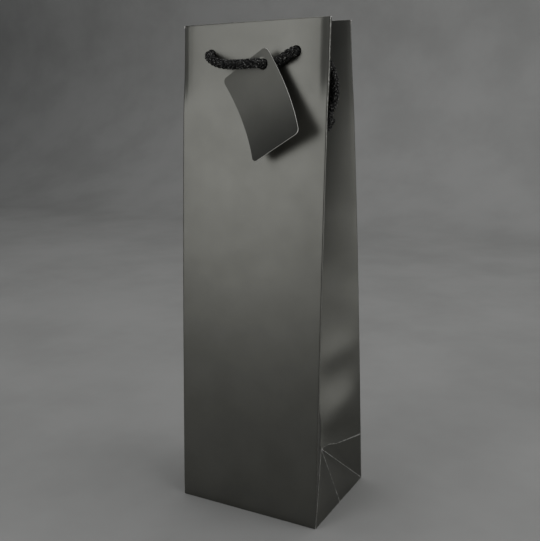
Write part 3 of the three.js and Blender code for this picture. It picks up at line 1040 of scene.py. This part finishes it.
def add_base_triangle(end, side, world_sign):
    """One half of the triangle that leans in from the side's bottom edge to the valley point."""
    way = -1 if end == "front" else 1
    sign = world_sign if end == "front" else -world_sign
    apex = valley_point(sign, end)
    foot_y = way * (HALF_DEPTH - FOOT_EDGE)
    share, rise = np.meshgrid(np.linspace(0, 1, 26), np.linspace(0, 1, 34), indexing="xy")
    foot = np.stack([
        world_sign * (HALF_WIDTH - 0.05 * MM) + 0 * share, foot_y * share, FOOT_EDGE + 0 * share
    ], -1)
    points = foot * (1 - rise)[..., None] + apex * rise[..., None]
    slope = math.atan2(HALF_WIDTH - abs(apex[0]), apex[2])
    outward = np.array([world_sign * math.cos(slope), 0, math.sin(slope)])
    swell = 0.55 * MM * np.sin(np.pi * share) * np.sin(np.pi * rise) * (1 - 0.3 * rise)
    points = points + swell[..., None] * outward
    span = HALF_DEPTH * (1 - rise)
    # Pale lines along both sloping edges up to the valley point, and along the foot: a painted highlight on
    # the creases, partly worn film.
    wear = np.maximum(
        0.75 * hump(span * (1 - share), 0, 0.7 * MM),
        0.62 * hump(span * share, 0, 0.55 * MM),
    )
    wear = np.maximum(wear, 0.5 * hump(rise, 0, 0.012))
    triangle = paper_piece(f"{side}_base_paper_{end}", points, wear, outward, (PEWTER, WHITE))
    smooth(triangle)
    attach(triangle, "base")
    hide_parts(f"{side}_base_triangle_{end}")


# ---------------------------------------------------------------- base, cards and seam
def paint_by_facing(node, outer, inner, outward):
    """Gives a CAD paper its film on the faces that look outward, and bare paper on the others."""
    mesh = frame["nodes"][node].data
    mesh.materials.clear()
    mesh.materials.append(inner)
    mesh.materials.append(outer)
    for face in mesh.polygons:
        face.material_index = 1 if face.normal.dot(Vector(outward)) > 0.7 else 0


def finish_flat_papers():
    for name in ("front", "back", "left", "right"):
        paint_by_facing(f"bottom_flap_{name}", PEWTER, WHITE, (0, 0, -1))
    for end in ("front", "back"):
        paint_by_facing(f"{end}_top_card", GREY, GREY, (0, 0, 1))
    paint_by_facing("side_seam_flap", WHITE, WHITE, (0, 0, 1))


def add_bottom_board():
    """The loose grey board on the bottom: a cut sheet with eased corners and edges, very slightly bowed."""
    low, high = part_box("bottom_board")
    size = high - low
    bpy.ops.object.select_all(action="DESELECT")
    bpy.ops.mesh.primitive_cube_add(size=1, location=(low + high) / 2, scale=size)
    board = bpy.context.object
    board.name = "loose_bottom_board"
    bpy.ops.object.transform_apply(location=True, rotation=True, scale=True)
    bpy.ops.object.mode_set(mode="EDIT")
    bpy.ops.mesh.select_mode(type="EDGE")
    bpy.ops.mesh.select_all(action="DESELECT")
    bpy.ops.object.mode_set(mode="OBJECT")
    for edge in board.data.edges:
        first, second = (board.data.vertices[i].co for i in edge.vertices)
        edge.select = abs(first.z - second.z) > 0.5 * size.z
    bpy.ops.object.mode_set(mode="EDIT")
    bpy.ops.mesh.bevel(offset=1.6 * MM, segments=5)
    for axis, count in ((0, 11), (1, 9)):
        cut_along(axis, [low[axis] + size[axis] * i / count for i in range(1, count)])
    bpy.ops.object.mode_set(mode="OBJECT")
    centre = (low + high) / 2
    for vertex in board.data.vertices:
        along = (vertex.co.x - centre.x) / (size.x / 2)
        across = (vertex.co.y - centre.y) / (size.y / 2)
        vertex.co.z += 0.45 * MM * (along**2 + 0.6 * across**2) * 0.6
    apply_modifier(
        board, "BEVEL", width=0.16 * MM, segments=2, limit_method="ANGLE", angle_limit=math.radians(50)
    )
    board.data.materials.append(GREY)
    smooth(board, 40)
    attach(board, "base")
    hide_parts("bottom_board")


# ---------------------------------------------------------------- swing tag
def add_tag():
    """A curled card with rounded corners and a punched hole.

    It has film on its front, bare paper on its back and a pale cut edge.
    """
    curl_radius = TAG_LENGTH**2 / (8 * TAG_CURL)
    arc_centre = curl_radius - TAG_CURL
    hole_x = TAG_WIDTH / 2 - TAG_HOLE_FROM_SIDE
    hole_y = TAG_LENGTH / 2 - TAG_HOLE_FROM_TOP
    bpy.ops.object.select_all(action="DESELECT")
    bpy.ops.mesh.primitive_plane_add(size=1)
    tag = bpy.context.object
    tag.name = "swing_tag_card"
    tag.scale = (TAG_WIDTH, TAG_LENGTH, 1)
    bpy.ops.object.transform_apply(location=True, rotation=True, scale=True)
    bpy.ops.object.mode_set(mode="EDIT")
    bpy.ops.mesh.select_all(action="SELECT")
    bpy.ops.mesh.bevel(offset=TAG_CORNER, segments=8, affect="VERTICES")
    bpy.ops.object.mode_set(mode="OBJECT")
    bpy.ops.object.select_all(action="DESELECT")
    bpy.ops.mesh.primitive_cylinder_add(
        vertices=40, radius=TAG_PUNCH, depth=4 * MM, location=(hole_x, hole_y, 0)
    )
    punch = bpy.context.object
    apply_modifier(tag, "SOLIDIFY", thickness=TAG_THICKNESS, offset=0)
    apply_modifier(tag, "BOOLEAN", operation="DIFFERENCE", object=punch, solver="EXACT")
    bpy.data.objects.remove(punch)
    only(tag)
    bpy.ops.object.mode_set(mode="EDIT")
    cut_along(1, [TAG_LENGTH * (i / 30 - 0.5) for i in range(1, 30)])
    cut_along(0, [TAG_WIDTH * (i / 12 - 0.5) for i in range(1, 12)])
    bpy.ops.object.mode_set(mode="OBJECT")
    tag.data.materials.append(TAG_FILM)
    tag.data.materials.append(CUT_EDGE)
    tag.data.materials.append(WHITE)
    for face in tag.data.polygons:
        from_hole = math.hypot(face.center.x - hole_x, face.center.y - hole_y)
        if abs(face.normal.z) < 0.7 and from_hole > TAG_HOLE:
            face.material_index = 1
        elif face.normal.z < -0.7:
            face.material_index = 2
    hole_z = arc_centre - math.sqrt(curl_radius**2 - hole_y**2)
    for vertex in tag.data.vertices:
        x, y, z = vertex.co
        slope = math.asin(y / curl_radius)
        centre_z = arc_centre - curl_radius * math.cos(slope)
        vertex.co = (x - hole_x, y - z * math.sin(slope) - hole_y, centre_z + z * math.cos(slope) - hole_z)
    hang = wall_frame("front") @ Matrix.Translation(TAG_PLACE) @ Matrix.Rotation(TAG_ROLL, 4, "Z")
    tag.data.transform(hang @ Matrix.Rotation(TAG_TIP, 4, "X") @ Matrix.Rotation(TAG_TURN, 4, "Y"))
    smooth(tag, 40)
    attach(tag, "tag")
    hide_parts("gift_tag")


# ---------------------------------------------------------------- the whole scene
add_camera()
add_lights()
add_floor()
add_cords()
for end in ("front", "back"):
    add_panel(end)
    add_wall_hem(end)
    for sign in (-1, 1):
        side = "right" if (end == "front") == (sign > 0) else "left"
        add_side_fold(end, side, sign)
        add_gusset_half(end, side, sign)
        add_gusset_hem(end, side, sign)
        add_corner_triangle(end, side, sign)
    for side, world_sign in (("left", -1), ("right", 1)):
        add_base_triangle(end, side, world_sign)
finish_flat_papers()
add_bottom_board()
add_tag()
